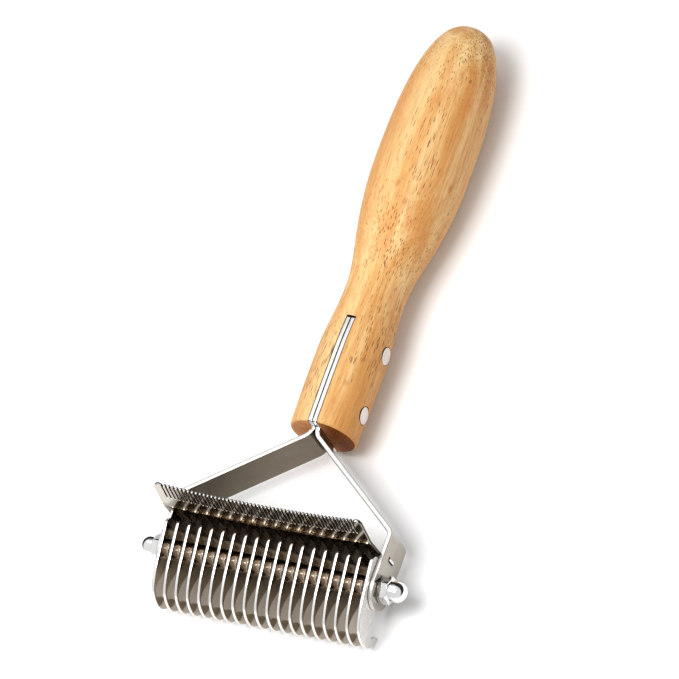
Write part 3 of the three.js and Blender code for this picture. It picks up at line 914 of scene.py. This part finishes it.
def comb_set_back(x):
    """How far back from its ends the fold lies at x, and the teeth with it, on a shallow arc."""
    radius = (COMB_HALF_WIDTH**2 + COMB_HOLLOW**2) / (2 * COMB_HOLLOW)
    x = min(abs(x), COMB_HALF_WIDTH)
    return COMB_HOLLOW - (radius - math.sqrt(radius**2 - x**2))


def comb_tip(x):
    return COMB_CORNER.x + comb_set_back(x)


def comb_outline():
    """The plate from above, anticlockwise, with round tooth tips and roots."""
    cx, cy = COMB_HALF_WIDTH - CORNER_RADIUS, comb_tip(COMB_HALF_WIDTH) + CORNER_RADIUS
    points = arc(-cx, cy, CORNER_RADIUS, 180, 270, 8)
    half, round_tip = TOOTH_GAP / 2, 0.24
    for i in range(GAP_COUNT):
        x = (i - (GAP_COUNT - 1) / 2) * TOOTH_PITCH
        root = comb_tip(x) + TOOTH_LENGTH - half
        points += arc(x - half - round_tip, comb_tip(x - half) + round_tip, round_tip, -90, 0, 3)
        points += arc(x, root, half, 180, 0, 6)
        points += arc(x + half + round_tip, comb_tip(x + half) + round_tip, round_tip, 180, 270, 3)
    points += arc(cx, cy, CORNER_RADIUS, 270, 360, 8)
    for side in (1, -1):
        inner, outer = side * COMB_HALF_WIDTH, side * (ARM_OUTER_X + 0.3)
        corner = outer - side * 0.3
        front, back = TAB_Y - TAB_WIDTH / 2, TAB_Y + TAB_WIDTH / 2
        tab = [(inner, front), (corner, front), (outer, front + 0.3), (outer, back - 0.3), (corner, back)]
        tab += [(inner, back), (inner, COMB_REAR.x - 0.5), (inner - side * 0.5, COMB_REAR.x)]
        points += [Vector(p) for p in (tab if side > 0 else reversed(tab))]
    return points


def comb_surface(x, y):
    """Height of the middle surface and the slope's angle, with a rounded fold."""
    lip = (COMB_CORNER.y - COMB_FOLD.y) / (COMB_CORNER.x - COMB_FOLD.x)
    back_angle, lip_angle = math.atan(COMB_SLOPE), math.atan(lip)
    reach = FOLD_RADIUS * math.tan((back_angle - lip_angle) / 2)
    set_back = comb_set_back(x)
    fold = COMB_FOLD.y + set_back * COMB_SLOPE
    d = y - COMB_FOLD.x - set_back
    share = min(1, max(0, (d + reach) / (2 * reach)))
    if share >= 1:
        return fold + d * COMB_SLOPE, back_angle
    if share <= 0:
        return fold + d * lip, lip_angle
    height = -reach * lip * (1 - share) ** 2 + reach * COMB_SLOPE * share**2
    return fold + height, lip_angle + (back_angle - lip_angle) * share


def make_comb():
    bm, _ = plate([comb_outline()], COMB_THICKNESS, 0.1, steps=2)
    slice_across(bm, 1, [COMB_FOLD.x - 0.75 + 0.25 * k for k in range(20)])
    slice_across(bm, 0, [-36 + 3 * k for k in range(25)])
    mark_edges(bm, caps_of(bm, COMB_THICKNESS / 2))
    bm.normal_update()
    for face in bm.faces:
        if abs(face.normal.z) > 0.1:
            place = face.calc_center_median()
            # Behind the fold the faces take the darker copy: painted shade.
            face.material_index = 3 if place.y > COMB_FOLD.x + comb_set_back(place.x) else 0
        else:
            on_tab = abs(face.calc_center_median().x) > COMB_HALF_WIDTH + 0.1
            # Side walls off the tabs take the near-black steel: painted shade between the teeth.
            face.material_index = 2 if abs(face.normal.x) > 0.6 and not on_tab else 1
    for v in bm.verts:
        height, angle = comb_surface(v.co.x, v.co.y)
        y = v.co.y - v.co.z * math.sin(angle)
        v.co = Vector((v.co.x, y, height + v.co.z * math.cos(angle)))
    face_out(bm)
    made = piece("fine_comb_plate", bm, [comb_face_shaded, comb_edge, comb_cut_shade, comb_back_shade])
    stand_in(made, "rake", "comb_steel", "comb_plate")


# ---- Floor, light and camera ----


def make_floor():
    bm = bmesh.new()
    bmesh.ops.create_grid(bm, x_segments=8, y_segments=8, size=3)
    mesh = bpy.data.meshes.new("floor")
    bm.to_mesh(mesh)
    bm.free()
    floor = bpy.data.objects.new("floor", mesh)
    bpy.context.scene.collection.objects.link(floor)
    paper = bpy.data.materials.new("white_paper")
    paper.use_nodes = True
    shader = paper.node_tree.nodes["Principled BSDF"]
    shader.inputs["Base Color"].default_value = (0.93, 0.93, 0.93, 1)
    shader.inputs["Roughness"].default_value = 0.9
    shader.inputs["Specular IOR Level"].default_value = 0.1
    mesh.materials.append(paper)


def area_light(name, place, target, size, power, colour=(1, 1, 1)):
    data = bpy.data.lights.new(name, "AREA")
    data.shape = "RECTANGLE"
    data.size, data.size_y = size
    data.energy = power
    data.color = colour
    light = bpy.data.objects.new(name, data)
    light.location = place
    light.rotation_euler = (Vector(target) - Vector(place)).to_track_quat("-Z", "Y").to_euler()
    bpy.context.scene.collection.objects.link(light)


CEILING = Vector((0, -0.6, 1))  # the middle of the ceiling, as a direction in the row frame


def make_light():
    """A white ceiling over a room that is dark low down and at the back, which gives the chrome its dark
    accents, and two soft boxes."""
    world = bpy.data.worlds.new("studio")
    bpy.context.scene.world = world
    world.use_nodes = True
    tree = world.node_tree
    place = tree.nodes.new("ShaderNodeTexCoord")
    nearness = tree.nodes.new("ShaderNodeVectorMath")
    nearness.operation = "DOT_PRODUCT"
    nearness.inputs[1].default_value = CEILING.normalized()
    shade = tree.nodes.new("ShaderNodeMapRange")
    shade.interpolation_type = "SMOOTHSTEP"
    shade.inputs["From Min"].default_value = 0.25
    shade.inputs["From Max"].default_value = 0.46
    shade.inputs["To Min"].default_value = 0.03
    shade.inputs["To Max"].default_value = 0.84
    background = tree.nodes["Background"]
    background.inputs["Color"].default_value = (1, 1, 1, 1)
    tree.links.new(place.outputs["Generated"], nearness.inputs[0])
    tree.links.new(nearness.outputs["Value"], shade.inputs["Value"])
    tree.links.new(shade.outputs["Result"], background.inputs["Strength"])
    area_light("key", (-0.12, -0.3, 1.05), (0, 0, 0), (0.6, 0.6), 10)
    area_light("overhead", (-0.5, 0.4, 0.95), (0, 0, 0), (0.9, 0.9), 0.8)


CAMERA_BACK = Vector((0.425, -0.835, -0.3496))
CAMERA_UP = Vector((-0.162, -0.450, 0.8783))
CAMERA_DISTANCE = 5000
PIXELS_PER_MM = 3.2
PICTURE_WIDTH = 679
AIM = Vector((20.56, 71.7))  # the picture's middle, right of and above the axle's middle, in mm


def make_camera():
    back = CAMERA_BACK.normalized()
    right = CAMERA_UP.cross(back).normalized()
    up = back.cross(right)
    place = right * AIM.x + up * AIM.y + back * CAMERA_DISTANCE
    data = bpy.data.cameras.new("camera")
    data.sensor_width = 36
    data.lens = PIXELS_PER_MM * CAMERA_DISTANCE / PICTURE_WIDTH * data.sensor_width
    data.clip_end = 20
    camera = bpy.data.objects.new("camera", data)
    turn = TOOL_TO_ROW.to_3x3().normalized() @ Matrix((right, up, back)).transposed()
    camera.matrix_world = Matrix.Translation(TOOL_TO_ROW @ place) @ turn.to_4x4()
    bpy.context.scene.collection.objects.link(camera)
    bpy.context.scene.camera = camera


make_camera()
make_light()
make_floor()
make_handle()
make_arm(1, "bent_arm_right", "yoke_arm_right")
make_arm(-1, "bent_arm_left", "yoke_arm_left")
make_blades()
make_spacers()
make_rod()
make_comb()
make_rivets()
make_washer(1, "flat_washer_right", "washer_right", "right_washer")
make_washer(-1, "flat_washer_left", "washer_left", "left_washer")
make_cap_nut(1, "domed_nut_right", "cap_nut_right", "right_nut")
make_cap_nut(-1, "domed_nut_left", "cap_nut_left", "left_nut")

bpy.context.scene.view_settings.view_transform = "Standard"
